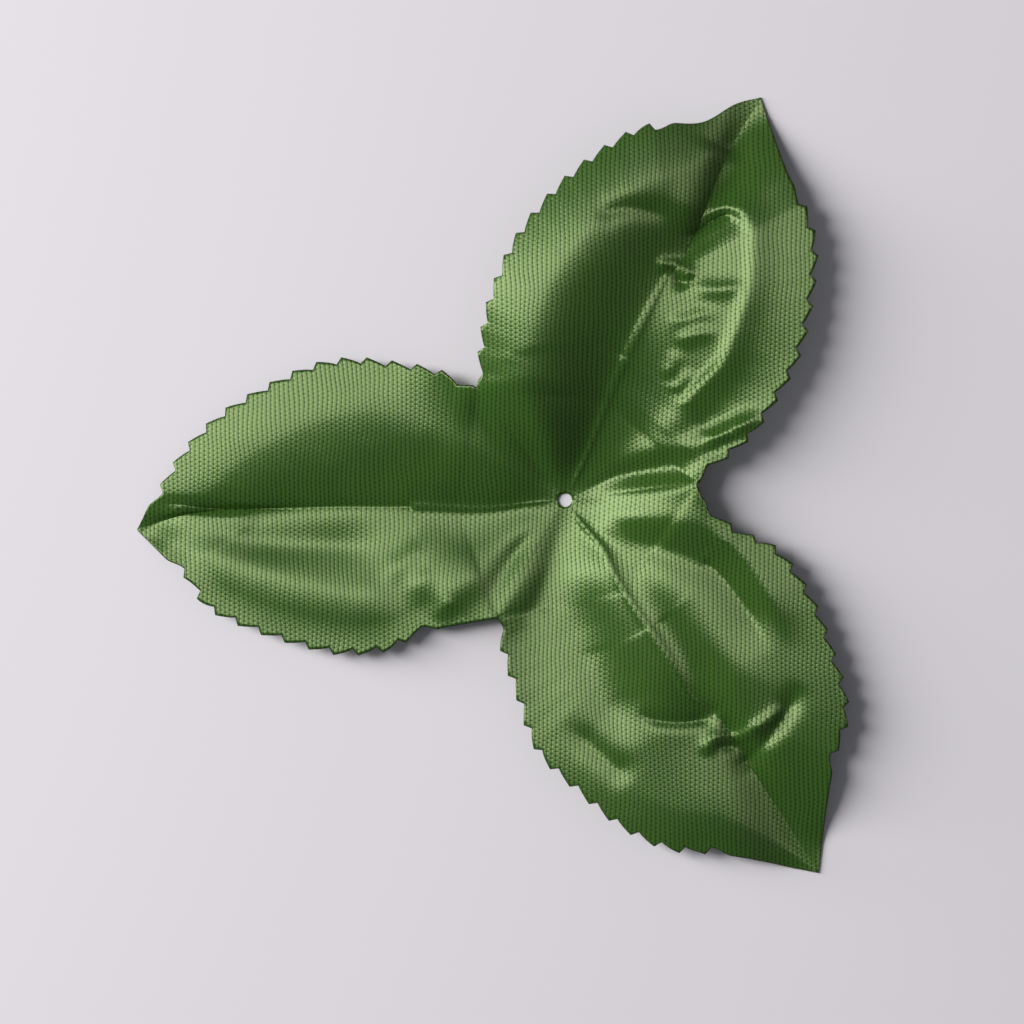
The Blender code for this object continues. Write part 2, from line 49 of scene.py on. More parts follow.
# The leaf, in mm, with places seen from above about the punched hole
satinLeaf = {
    "thickness": 0.28,
    "holeRadius": 0.85,
    "toothPitch": 3.05,
    "toothDepth": 0.8,
    "toothPeak": 0.78,          # share of the pitch, from the hub side, where a tooth stands out
    "toothCurve": 0.85,
    "teethFadeIn": 2.0,
    "teethFadeOut": 2.5,
    "teethFullBreadth": 7.0,    # the teeth are shallower where a half is narrower than this
    "pinchWidth": 0.45,         # of the pinched line along each midrib
    "pinchFadeIn": 0.06,        # shares of the midrib over which that line comes and goes
    "pinchFadeOut": 0.12,
    "tipSettle": 0.22,          # share of the midrib over which the relief sinks to the tip
    "notchSettle": 0.12,        # and over which the edge leaves the notch's height
    "crestFall": 1.5,           # 1 is a straight slope from crest to edge, more is rounder
    "sharpFall": 1.6,           # how fast the flanks of a sharp fold fall
    "hubFlatRadius": 1.6,
    "hubRiseLength": 4.5,
    "smoothReach": 18.5,        # round the hole the leaflets' relief is blended, so many times
    "smoothRounds": 30,
    "smoothFactor": 0.5,

    # The net: a column runs from the midrib to the edge, a row from the hub to the tip
    "rows": 44,
    "joinColumns": 24,          # that end between the hole and the notch
    "marginColumns": 138,       # that end between the notch and the tip
    "joinCrowding": 1.15,
    "toothSteps": 6,
    "polarReach": 9.0,          # columns follow circles round the hole up to here
    "ribToNotch": 12.4,         # length of midrib whose columns end on the line to the notch
    "ribPace": 0.6,             # columns lean forward from the midrib, as side veins do,
    "ribRush": 5,               # and the last stretch of midrib makes up for it
    "leastBreadth": 1.0,
    "toothPullBreadth": 3.2,    # a tooth draws the rows in over about this much cloth,
    "toothPullLimits": (1.5, 5.0),      # which falls off inward by these powers at least and most
    "uncutMargin": 5.0,         # where two leaflets join, no cut edge is nearer than this
    "seamMerge": 0.02,
    "endSlack": 0.001,          # keeps the last tooth's end out of the teeth
    "pathSteps": 16,            # points a knot
    "foldSteps": 8,
    "headingReach": 0.3,        # how far to each side a line's heading is read

    # Where two leaflets part: place and height
    "notches": {
        "northWest": (-10.4, 13.4, 4.2),
        "southWest": (-8.2, -14.2, 2.2),
        "east": (15.8, 1.9, 4.8),
    },

    # Direction in degrees; midrib as way from the hole and offset to the left; height of the
    # pinched line along it, and the share of the midrib where that line ends
    "leaflets": {
        "left": {
            "direction": 184.0, "pinchHeight": 0.15, "pinchEnd": 0.85,
            "midrib": [(9.6, 0.3), (17.8, -0.5), (27.1, -1.2), (39.0, -1.7), (45.0, -1.6),
                       (51.5, 0.0)],
        },
        "upper": {
            "direction": 64.1, "pinchHeight": 0.30, "pinchEnd": 0.62,
            "midrib": [(7.5, 0.2), (16.8, 0.9), (28.1, 0.9), (33.4, -0.1), (44.6, 0.6),
                       (53.7, 0.0)],
        },
        "lower": {
            "direction": -55.8, "pinchHeight": 0.34, "pinchEnd": 0.60,
            "midrib": [(6.9, 0.6), (12.0, -0.3), (22.8, -0.5), (27.2, -1.0), (30.6, 0.4),
                       (36.0, 0.6), (54.1, 0.0)],
        },
    },

    # Each half of a leaflet: the line through its teeth from notch to tip, as way from the hole
    # and offset from the leaflet's direction; the toothed stretch of that line; where the crest
    # runs between midrib and edge; and the heights of midrib, crest and edge at even steps
    # from hub to tip
    "halves": {
        "leftNorth": {
            "leaflet": "left", "side": -1, "notch": "northWest",
            "margin": [(13.9, 16.7), (19.9, 18.2), (25.0, 18.9), (29.6, 18.3), (35.3, 16.1),
                       (40.5, 13.4), (45.0, 9.6), (48.6, 4.8), (51.5, 0.0)],
            "toothed": (2.5, 45.2), "crest": 0.62, "bow": 1.0,
            "heights": [(0.0, 0.0, 0.0), (0.3, 2.4, 2.8), (0.8, 2.3, 1.6), (0.8, 1.9, 1.1),
                        (0.5, 0.9, 0.5), (0.0, 0.0, 0.0)],
        },
        "leftSouth": {
            "leaflet": "left", "side": 1, "notch": "southWest",
            "margin": [(17.4, 14.6), (22.3, 16.6), (27.4, 16.8), (31.1, 16.0), (37.7, 13.5),
                       (43.8, 10.1), (46.1, 6.3), (51.5, 0.0)],
            "toothed": (9.0, 42.0), "crest": 0.78, "bow": 1.6,
            "heights": [(0.0, 0.0, 0.0), (0.3, 1.8, 1.9), (0.8, 2.2, 2.4), (0.8, 2.0, 2.2),
                        (0.5, 1.0, 1.1), (0.0, 0.0, 0.0)],
        },
        "upperWest": {
            "leaflet": "upper", "side": 1, "notch": "northWest",
            "margin": [(9.2, 16.2), (16.3, 18.6), (24.5, 19.3), (31.8, 17.9), (37.9, 15.5),
                       (43.7, 11.9), (45.8, 8.8), (47.8, 5.0), (51.6, 2.4), (53.7, 0.0)],
            "toothed": (2.0, 41.0), "crest": 0.64, "bow": 1.4,
            "heights": [(0.0, 0.0, 0.0), (2.0, 6.1, 6.2), (3.8, 7.1, 5.3), (2.9, 4.4, 3.0),
                        (0.8, 1.1, 0.9), (0.0, 0.0, 0.0)],
        },
        "upperEast": {
            "leaflet": "upper", "side": -1, "notch": "east",
            "margin": [(10.8, 14.3), (15.9, 16.7), (20.9, 17.6), (27.2, 17.9), (33.6, 16.6),
                       (40.4, 14.0), (44.3, 10.6), (46.9, 6.8), (53.7, 0.0)],
            "toothed": (2.5, 39.0), "crest": 0.66, "bow": 2.2,
            "heights": [(0.0, 0.0, 0.0), (2.0, 2.3, 4.6), (3.8, 4.9, 4.8), (2.9, 3.7, 2.8),
                        (0.8, 1.1, 0.7), (0.0, 0.0, 0.0)],
        },
        "lowerEast": {
            "leaflet": "lower", "side": 1, "notch": "east",
            "margin": [(9.4, 13.8), (14.1, 15.1), (19.1, 17.9), (25.9, 18.1), (33.0, 16.6),
                       (40.3, 13.8), (44.9, 8.2), (54.1, 0.0)],
            "toothed": (4.0, 40.0), "crest": 0.38, "bow": 1.6,
            "heights": [(0.0, 0.0, 0.0), (2.4, 3.2, 2.8), (3.3, 4.1, 3.6), (2.2, 3.6, 3.1),
                        (0.9, 0.8, 0.2), (0.0, 0.0, 0.0)],
        },
        "lowerWest": {
            "leaflet": "lower", "side": -1, "notch": "southWest",
            "margin": [(10.0, 16.4), (16.1, 18.2), (22.9, 19.9), (29.7, 18.6), (36.4, 16.6),
                       (41.9, 13.2), (46.5, 7.4), (54.1, 0.0)],
            "toothed": (1.5, 42.0), "crest": 0.72, "bow": 1.6,
            "heights": [(0.0, 0.0, 0.0), (2.4, 0.6, 1.4), (3.3, 3.0, 2.8), (2.2, 2.9, 2.3),
                        (0.9, 0.7, 0.2), (0.0, 0.0, 0.0)],
        },
    },

    # Folds that the press and handling left: points on the plan, height of the ridge (a
    # valley's is negative), width to its left, width to its right, sharpness, and the share of
    # its length that fades out at each end
    "folds": {
        "leftRib": (
            [(-49.8, -0.2), (-38.9, -1.0), (-27.1, -0.7), (-17.8, -0.7), (-3.0, -0.1)],
            -0.39, 0.8, 0.8, 1.0, 0.2),
        "leftTipRidge": (
            [(-48.6, -1.4), (-45.0, -1.9), (-40.2, -2.2), (-36.4, -1.7)],
            0.39, 1.0, 2.0, 0.3, 0.3),
        "leftCrest": (
            [(-46.2, -6.0), (-38.3, -7.7), (-31.6, -10.1), (-24.8, -11.4), (-19.6, -10.6)],
            0.35, 2.6, 3.6, 0.1, 0.2),
        "leftTrough": (
            [(-43.8, -4.2), (-36.6, -5.4), (-28.2, -5.4), (-21.0, -5.8)],
            -0.35, 2.2, 2.2, 0.1, 0.3),
        "leftPleatOuter": (
            [(-22.7, -10.3), (-20.0, -7.9), (-16.9, -5.8), (-13.6, -3.6)],
            0.3, 1.5, 1.8, 0.1, 0.35),
        "leftPleatMiddle": (
            [(-20.0, -12.0), (-16.9, -9.6), (-14.0, -7.2), (-10.4, -4.6)],
            0.32, 1.5, 1.8, 0.1, 0.35),
        "leftPleatInner": (
            [(-16.4, -12.7), (-14.0, -10.1), (-11.6, -7.4), (-8.5, -4.6)],
            0.28, 1.4, 1.6, 0.1, 0.35),
        "leftPleatNotch": (
            [(-16.1, -14.6), (-12.6, -10.8), (-9.0, -7.4)],
            0.44, 1.4, 1.4, 0.3, 0.3),
        "northWestTuck": (
            [(-11.2, 13.4), (-10.0, 10.4), (-8.4, 7.4)],
            -0.7, 0.8, 1.2, 0.3, 0.4),
        "northWestRidge": (
            [(-9.7, 12.7), (-7.3, 10.4), (-4.4, 6.2)],
            0.8, 1.0, 1.4, 0.3, 0.4),
        "northWestValley": (
            [(-7.8, 12.0), (-5.4, 9.0), (-2.4, 5.4), (-0.6, 2.6)],
            -0.35, 2.2, 2.2, 0.1, 0.4),
        "southWestTuck": (
            [(-3.5, -3.8), (-6.2, -6.4), (-7.9, -9.4), (-8.5, -14.4)],
            -0.8, 1.2, 1.2, 0.3, 0.3),
        "southWestRidge": (
            [(-3.0, -6.7), (-4.2, -10.8), (-7.0, -15.5)],
            0.72, 1.0, 1.6, 0.6, 0.3),
        "eastFold": (
            [(2.9, 1.7), (4.8, 2.6), (6.7, 3.4), (9.0, 3.7), (12.1, 3.2), (14.9, 2.4),
             (16.2, 1.9)],
            -0.3, 0.5, 1.0, 0.6, 0.25),
        "upperCrest": (
            [(16.2, 33.4), (17.6, 34.4), (19.6, 34.9), (21.2, 34.4), (22.3, 32.4),
             (22.4, 29.3), (22.0, 25.6), (21.0, 22.3), (19.8, 18.8), (18.7, 16.3),
             (16.8, 14.2), (15.1, 12.4), (13.6, 10.2), (11.6, 8.2), (9.0, 5.8)],
            0.62, 2.0, 0.8, 0.5, 0.12),
        "upperPouch": (
            [(10.4, 28.4), (11.9, 28.1), (13.3, 28.0), (14.5, 27.1), (15.0, 25.9)],
            0.7, 0.8, 0.6, 0.8, 0.25),
        "upperPouchHollow": (
            [(12.6, 26.4), (13.8, 26.2), (14.8, 25.2)],
            -0.6, 0.9, 0.9, 0.4, 0.4),
        "upperHemPleat": (
            [(6.8, 5.3), (9.7, 5.6), (14.5, 6.2), (18.0, 7.4), (20.6, 8.6), (24.4, 10.7)],
            0.9, 1.2, 0.8, 0.6, 0.2),
        "upperRibStep": (
            [(14.0, 31.4), (15.5, 35.0), (17.2, 37.9), (18.4, 40.8), (19.1, 42.5)],
            0.8, 2.6, 2.0, 0.1, 0.25),
        "upperWestArc": (
            [(3.1, 33.4), (7.3, 34.9), (14.0, 33.7)],
            -0.39, 1.2, 1.2, 0.4, 0.3),
        "upperTuck": (
            [(13.8, 31.7), (15.8, 32.2), (17.6, 33.4), (19.1, 34.1), (20.2, 33.8)],
            -0.6, 0.6, 0.8, 0.6, 0.25),
        "upperWrinkleNorth": (
            [(15.0, 25.8), (17.2, 25.2), (19.6, 25.3), (21.6, 25.9)],
            0.3, 0.9, 1.2, 0.3, 0.35),
        "upperWrinkleMiddle": (
            [(11.9, 21.8), (13.8, 21.4), (16.2, 22.1), (18.8, 22.6)],
            0.22, 0.9, 1.2, 0.3, 0.35),
        "upperWrinkleSouth": (
            [(13.1, 18.5), (14.5, 19.4), (16.2, 19.9), (18.8, 20.0)],
            0.3, 0.9, 1.1, 0.3, 0.35),
        "upperWrinkleHook": (
            [(12.6, 18.2), (13.1, 16.8), (12.6, 15.6), (11.5, 14.2)],
            0.2, 0.8, 0.8, 0.4, 0.35),
        "upperWrinkleCurl": (
            [(15.0, 16.1), (14.3, 14.4), (13.1, 13.4), (11.4, 13.7)],
            0.22, 0.8, 0.8, 0.4, 0.35),
        "lowerPucker": (
            [(18.1, -25.0), (18.5, -25.9), (18.1, -27.7), (17.0, -29.3), (16.7, -30.8)],
            0.4, 0.8, 0.8, 0.5, 0.25),
        "lowerHook": (
            [(16.9, -29.4), (18.7, -28.4), (20.9, -28.3), (22.9, -27.2), (24.7, -25.9),
             (25.8, -24.2)],
            0.7, 0.7, 0.6, 0.8, 0.2),
        "lowerHookHollow": (
            [(17.6, -29.5), (19.3, -29.5), (21.2, -29.3)],
            -0.4, 0.8, 0.8, 0.4, 0.4),
        "lowerCrease": (
            [(8.5, -25.3), (10.8, -26.3), (13.8, -26.6), (16.2, -26.3), (17.9, -25.8)],
            -0.6, 0.8, 0.7, 0.6, 0.3),
        "lowerTipArc": (
            [(19.6, -33.1), (22.9, -30.2), (26.2, -25.9), (28.3, -21.7)],
            -0.7, 1.3, 1.0, 0.4, 0.25),
        "lowerCrest": (
            [(9.0, -7.9), (11.6, -10.6), (15.0, -14.6), (18.6, -18.2), (22.8, -21.4),
             (27.0, -22.8)],
            0.25, 2.6, 3.0, 0.1, 0.3),
        "lowerCrestTuck": (
            [(4.4, -6.2), (6.8, -5.4), (9.7, -5.0), (12.2, -5.4), (14.8, -6.4),
             (17.2, -7.6), (19.1, -9.4), (21.2, -12.1), (22.8, -14.9), (24.4, -18.6)],
            -0.7, 0.9, 2.6, 0.3, 0.2),
        "lowerRimRidge": (
            [(4.2, -3.4), (6.8, -2.4), (10.2, -2.5), (13.2, -3.1), (16.4, -3.8),
             (19.3, -5.3), (21.6, -7.4), (23.8, -10.6), (25.6, -13.9), (27.0, -18.0)],
            0.6, 2.6, 0.9, 0.3, 0.2),
        "lowerRibRidge": (
            [(3.0, -4.8), (4.2, -6.7), (5.6, -9.0), (9.0, -14.6), (11.4, -18.2),
             (14.4, -22.8), (18.0, -25.6)],
            0.6, 1.6, 3.6, 0.0, 0.3),
        "lowerWestHollow": (
            [(-0.6, -7.8), (1.6, -13.8), (3.7, -19.8), (6.0, -25.2), (9.0, -30.0)],
            -0.65, 3.6, 2.8, 0.0, 0.3),
        "lowerWestTrough": (
            [(-0.4, -26.4), (4.6, -30.7), (8.3, -34.0)],
            -0.39, 1.6, 1.6, 0.3, 0.3),
    },
}


def ease(share):
    share = np.clip(share, 0.0, 1.0)
    return share * share * (3.0 - 2.0 * share)


def spline(knots, places):
    # Catmull-Rom curve through the knots, read at places from 0 to the last knot's number
    knots = np.asarray(knots, float)
    number = np.clip(np.floor(places).astype(int), 0, len(knots) - 2)
    t = (places - number)[:, None]
    ends = np.vstack([2 * knots[0] - knots[1], knots, 2 * knots[-1] - knots[-2]])
    a, b, c, d = (ends[number + step] for step in range(4))
    cubic = (3 * b - a - 3 * c + d) * t**3
    return 0.5 * (2 * b + (c - a) * t + (2 * a - 5 * b + 4 * c - d) * t**2 + cubic)


class Path:
    # A smooth line through points, read by the distance along it
    def __init__(self, points):
        steps = satinLeaf["pathSteps"] * len(points)
        self.line = spline(points, np.linspace(0.0, len(points) - 1.0, steps))
        lengths = np.hypot(*np.diff(self.line, axis=0).T)
        self.way = np.concatenate([[0.0], np.cumsum(lengths)])
        self.length = self.way[-1]

    def at(self, distance):
        return np.column_stack([np.interp(distance, self.way, axis) for axis in self.line.T])

    def right(self, distance):
        reach = satinLeaf["headingReach"]
        step = self.at(distance + reach) - self.at(distance - reach)
        step /= np.hypot(*step.T)[:, None]
        return np.column_stack([step[:, 1], -step[:, 0]])


def marginDistances(length, toothed, teeth):
    # a few columns before the teeth, some on each tooth, the rest to the tip
    first, last = toothed
    onTooth = np.linspace(0.0, satinLeaf["toothPeak"], satinLeaf["toothSteps"])
    spare = satinLeaf["marginColumns"] - teeth * len(onTooth)
    lead = max(1, round(spare * first / (first + length - last)))
    before = np.linspace(0.0, first, lead + 1)[1:-1]
    pitch = (last - first) / teeth
    onTeeth = [first + (number + step) * pitch for number in range(teeth) for step in onTooth]
    rest = satinLeaf["marginColumns"] - len(before) - len(onTeeth)
    return np.concatenate([before, onTeeth, np.linspace(last, length, rest)])


def toothBite(distance, toothed, teeth):
    # how far the cut edge lies inside the line through the teeth
    first, last = toothed
    peak = satinLeaf["toothPeak"]
    share = ((distance - first) / (last - first) * teeth) % 1.0
    longSide = (share / peak) ** satinLeaf["toothCurve"]
    shortSide = (1.0 - share) / (1.0 - peak)
    bite = 1.0 - np.where(share < peak, longSide, shortSide)
    beforeTeeth = ease(1.0 + (distance - first) / satinLeaf["teethFadeIn"])
    bite = np.where(distance < first, beforeTeeth, bite)
    afterTeeth = ease(1.0 - (distance - last) / satinLeaf["teethFadeOut"])
    bite = np.where(distance > last - satinLeaf["endSlack"], afterTeeth, bite)
    return satinLeaf["toothDepth"] * bite


def leafletAxes(turn):
    # forward and to the left
    return np.array([[math.cos(turn), math.sin(turn)], [-math.sin(turn), math.cos(turn)]])


def outerLine(half, notch, turn, crowded):
    # from the hole to the notch, then through the teeth to the tip; and each place's bite
    axes = leafletAxes(turn)
    axes[1] *= half["side"]
    margin = Path([axes @ notch, *half["margin"]])
    first, last = half["toothed"]
    teeth = round((last - first) / satinLeaf["toothPitch"])
    along = marginDistances(margin.length, half["toothed"], teeth)
    bite = toothBite(along, half["toothed"], teeth)[:, None] * (margin.right(along) @ axes)
    holeRadius = satinLeaf["holeRadius"]
    notchDistance = np.hypot(*notch)
    join = holeRadius + (notchDistance - holeRadius) * crowded
    edge = np.vstack([join[:, None] * notch / notchDistance, margin.at(along) @ axes])
    return edge, np.vstack([np.zeros((len(join), 2)), bite])


def midribLine(leaflet, turn, crowded):
    # places with as many columns as the outer line, and their shares of its length
    path = Path([(satinLeaf["holeRadius"], 0.0), *leaflet["midrib"]])
    nearHub = satinLeaf["ribToNotch"] * crowded
    step = np.linspace(0.0, 1.0, satinLeaf["marginColumns"] + 1)[1:]
    pace = satinLeaf["ribPace"]
    lean = pace * step + (1.0 - pace) * step ** satinLeaf["ribRush"]
    toTip = nearHub[-1] + (path.length - nearHub[-1]) * lean
    way = np.concatenate([nearHub, toTip])
    return path.at(way) @ leafletAxes(turn), way / path.length


def netPlaces(rows, rib, edge, notch, turn):
    # columns run straight from the midrib to the edge, and on circles round the hole
    straight = rib[:, None] + rows[None, :, None] * (edge - rib)[:, None]
    swing = (math.atan2(notch[1], notch[0]) - turn + math.pi) % math.tau - math.pi
    ribReach = np.hypot(*rib.T)
    reach = ribReach[:, None] + rows * (np.hypot(*edge.T) - ribReach)[:, None]
    turns = turn + swing * rows
    circles = np.stack([reach * np.cos(turns), reach * np.sin(turns)], axis=-1)
    fromHole = ease((ribReach - satinLeaf["holeRadius"]) / satinLeaf["polarReach"])
    return circles + fromHole[:, None, None] * (straight - circles)


def pressedHeights(half, share, across, joinRise, notchHeight):
    # up from the midrib to the crest, then down to the edge
    stations = len(half["heights"]) - 1.0
    ribZ, crestZ, edgeZ = spline(half["heights"], share * stations).T
    lastJoin = satinLeaf["joinColumns"]
    leave = ease((share - share[lastJoin]) / satinLeaf["notchSettle"])
    marginZ = notchHeight + leave * (edgeZ - notchHeight)
    edgeZ = np.where(np.arange(len(share)) <= lastJoin, notchHeight * joinRise, marginZ)
    settle = ease((1.0 - share) / satinLeaf["tipSettle"])
    ribZ, crestZ, edgeZ = ((settle * z)[:, None] for z in (ribZ, crestZ, edgeZ))
    crest = half["crest"]
    up = np.sin(math.pi / 2 * np.clip(across / crest, 0.0, 1.0) ** half["bow"])
    down = np.clip((across - crest) / (1.0 - crest), 0.0, 1.0) ** satinLeaf["crestFall"]
    return ribZ + (crestZ - ribZ) * up + (edgeZ - crestZ) * down


def halfSurface(half):
    # plan places, height, pinched line and distance from the cut edge of a half's net
    leaflet = satinLeaf["leaflets"][half["leaflet"]]
    turn = math.radians(leaflet["direction"])
    *notch, notchHeight = satinLeaf["notches"][half["notch"]]
    notch = np.array(notch)
    crowded = np.linspace(0.0, 1.0, satinLeaf["joinColumns"] + 1) ** satinLeaf["joinCrowding"]
    edge, pull = outerLine(half, notch, turn, crowded)
    rib, share = midribLine(leaflet, turn, crowded)
    rows = np.linspace(0.0, 1.0, satinLeaf["rows"] + 1)
    plan = netPlaces(rows, rib, edge, notch, turn)

    # the teeth bite in at right angles to the edge, and less where the leaflet is narrow
    breadth = np.maximum(np.hypot(*(edge - rib).T), satinLeaf["leastBreadth"])
    pull = pull * ease(breadth / satinLeaf["teethFullBreadth"])[:, None]
    pullPower = np.clip(breadth / satinLeaf["toothPullBreadth"], *satinLeaf["toothPullLimits"])
    nearEdge = rows ** pullPower[:, None]
    plan = plan + pull[:, None, :] * nearEdge[..., None]
    across = rows - nearEdge * (np.hypot(*pull.T) / breadth)[:, None]
    joinRise = ease(np.hypot(*edge.T) / np.hypot(*notch))
    height = pressedHeights(half, share, across, joinRise, notchHeight)

    # the pinched line on the midrib, and how far each place is from the cut edge
    pinched = leaflet["pinchHeight"] * ease(share / satinLeaf["pinchFadeIn"])
    pinched = pinched * ease((leaflet["pinchEnd"] - share) / satinLeaf["pinchFadeOut"])
    fromRib = rows * breadth[:, None]
    pinched = pinched[:, None] * np.exp(-fromRib / satinLeaf["pinchWidth"])
    fromCut = (1.0 - rows) * breadth[:, None]
    fromCut[:satinLeaf["joinColumns"]] += satinLeaf["uncutMargin"]
    return plan, height, pinched, fromCut


def foldRelief(plan, points, height, leftWidth, rightWidth, sharpness, fade):
    steps = satinLeaf["foldSteps"] * len(points)
    line = spline(points, np.linspace(0.0, len(points) - 1.0, steps))
    nearest = np.full(plan.shape[:-1], np.inf)
    side = np.zeros(nearest.shape)
    way = np.zeros(nearest.shape)
    last = len(line) - 1
    for number in range(last):
        step = line[number + 1] - line[number]
        offset = plan - line[number]
        share = np.clip(offset @ step / (step @ step), 0.0, 1.0)
        apart = offset - share[..., None] * step
        distance = np.hypot(apart[..., 0], apart[..., 1])
        closer = distance < nearest
        nearest = np.where(closer, distance, nearest)
        side = np.where(closer, step[0] * apart[..., 1] - step[1] * apart[..., 0], side)
        way = np.where(closer, (number + share) / last, way)
    across = nearest / np.where(side > 0.0, leftWidth, rightWidth)
    soft = np.exp(-across**2)
    sharp = np.exp(-satinLeaf["sharpFall"] * across)
    profile = (1.0 - sharpness) * soft + sharpness * sharp
    return height * profile * ease(way / fade) * ease((1.0 - way) / fade)


def pressedHalf(half):
    # a half with all its folds, level round the hole and nowhere below the table
    plan, height, pinched, fromCut = halfSurface(half)
    for fold in satinLeaf["folds"].values():
        height = height + foldRelief(plan, *fold)
    fromHub = np.hypot(plan[..., 0], plan[..., 1]) - satinLeaf["hubFlatRadius"]
    height = np.maximum(height, 0.0) * ease(fromHub / satinLeaf["hubRiseLength"])
    return np.concatenate([plan, np.stack([height, pinched, fromCut], axis=-1)], axis=-1)


def addHalf(sheet, points, holeAt, pinchedLayer, fromCutLayer):
    columns, rows = points.shape[:2]
    grid = bmesh.ops.create_grid(sheet, x_segments=columns - 1, y_segments=rows - 1, size=0.5)
    for vert in grid["verts"]:
        column = round((vert.co.x + 0.5) * (columns - 1))
        row = round((vert.co.y + 0.5) * (rows - 1))
        x, y, z, pinched, fromCut = points[column, row]
        vert.co = (x * mm + holeAt.x, y * mm + holeAt.y, z * mm)
        vert[pinchedLayer] = pinched
        vert[fromCutLayer] = fromCut


def holePlace(surfaces):
    # the leaf's box lies over the solid's box
    places = np.concatenate([points.reshape(-1, points.shape[-1])[:, :2] for points in surfaces])
    offset = (places.min(axis=0) + places.max(axis=0)) / 2 * mm
    cadLow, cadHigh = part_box("leaf_sheet")
    middle = (cadLow + cadHigh) / 2
    return Vector((middle.x - offset[0], middle.y - offset[1], 0))


def joinHalves(surfaces, holeAt):
    sheet = bmesh.new()
    pinchedLayer = sheet.verts.layers.float.new("pinched")
    fromCutLayer = sheet.verts.layers.float.new("fromCut")
    for points in surfaces:
        addHalf(sheet, points, holeAt, pinchedLayer, fromCutLayer)
    bmesh.ops.remove_doubles(sheet, verts=sheet.verts, dist=satinLeaf["seamMerge"] * mm)
    hubCloth = [vert for vert in sheet.verts if not vert.is_boundary
                and (vert.co - holeAt).xy.length < satinLeaf["smoothReach"] * mm]
    for _ in range(satinLeaf["smoothRounds"]):
        bmesh.ops.smooth_vert(sheet, verts=hubCloth, factor=satinLeaf["smoothFactor"],
                              use_axis_z=True)
    for vert in sheet.verts:
        vert.co.z += vert[pinchedLayer] * mm    # after the smoothing, which would wipe it out
    bmesh.ops.recalc_face_normals(sheet, faces=sheet.faces)
    if sum(face.normal.z for face in sheet.faces) < 0.0:
        bmesh.ops.reverse_faces(sheet, faces=sheet.faces)
    return sheet


def makeSatinLeaf():
    surfaces = [pressedHalf(half) for half in satinLeaf["halves"].values()]
    holeAt = holePlace(surfaces)
    sheet = joinHalves(surfaces, holeAt)
    weaveMap = sheet.loops.layers.uv.new("weave")       # mm from the hole
    for face in sheet.faces:
        for loop in face.loops:
            place = loop.vert.co - holeAt
            loop[weaveMap].uv = (place.x / mm, place.y / mm)
    area = sum(face.calc_area() for face in sheet.faces)
    mesh = bpy.data.meshes.new("satin_leaf")
    sheet.to_mesh(mesh)
    sheet.free()
    mesh.shade_smooth()
    leaf = bpy.data.objects.new("satin_leaf", mesh)
    bpy.context.scene.collection.objects.link(leaf)
    thickness = leaf.modifiers.new("cloth thickness", "SOLIDIFY")
    thickness.thickness = satinLeaf["thickness"] * mm
    thickness.offset = 1.0      # all of it upwards
    print("satin leaf:", len(mesh.polygons), "faces before its thickness, area", area)
    return leaf, holeAt


# A shader socket that can be written in sums
class Wire:
    def __init__(self, shader, output):
        self.shader = shader
        self.output = output

    def maths(self, operation, *values, clamp=False):
        settings = {"operation": operation, "use_clamp": clamp}
        return self.shader.add("ShaderNodeMath", self, *values, settings=settings)

    def __add__(self, other):
        return self.maths("ADD", other)

    def __sub__(self, other):
        return self.maths("SUBTRACT", other)

    def __rsub__(self, other):
        return self.shader.add("ShaderNodeMath", other, self, settings={"operation": "SUBTRACT"})

    def __mul__(self, other):
        return self.maths("MULTIPLY", other)

    def __truediv__(self, other):
        return self.maths("DIVIDE", other)

    def __pow__(self, other):
        return self.maths("POWER", other)

    def __mod__(self, other):
        return self.maths("FLOORED_MODULO", other)

    def __abs__(self):
        return self.maths("ABSOLUTE")

    def floor(self):
        return self.maths("FLOOR")

    def above(self, other):
        return self.maths("MAXIMUM", other)

    def clamped(self):
        return self.maths("ADD", 0.0, clamp=True)


class Shader:
    def __init__(self, name):
        self.material = bpy.data.materials.new(name)
        self.material.use_nodes = True
        self.nodes = self.material.node_tree.nodes
        self.links = self.material.node_tree.links
        self.nodes.clear()

    # sockets are set in order, or by name
    def add(self, kind, *values, settings=None, output=0, **named):
        node = self.nodes.new(kind)
        for name, value in (settings or {}).items():
            setattr(node, name, value)
        for number, value in enumerate(values):
            self.put(node.inputs[number], value)
        for name, value in named.items():
            self.put(node.inputs[name.replace("_", " ")], value)
        return Wire(self, node.outputs[output]) if node.outputs else node

    def put(self, socket, value):
        if isinstance(value, Wire):
            self.links.new(value.output, socket)
        else:
            socket.default_value = value

    def mix(self, factor, first, second):
        node = self.nodes.new("ShaderNodeMix")
        node.data_type = "RGBA"
        for number, value in zip((0, 6, 7), (factor, first, second)):      # the colour sockets
            self.put(node.inputs[number], value)
        return Wire(self, node.outputs[2])

    def split(self, vector):
        node = self.nodes.new("ShaderNodeSeparateXYZ")
        self.put(node.inputs[0], vector)
        return [Wire(self, output) for output in node.outputs]


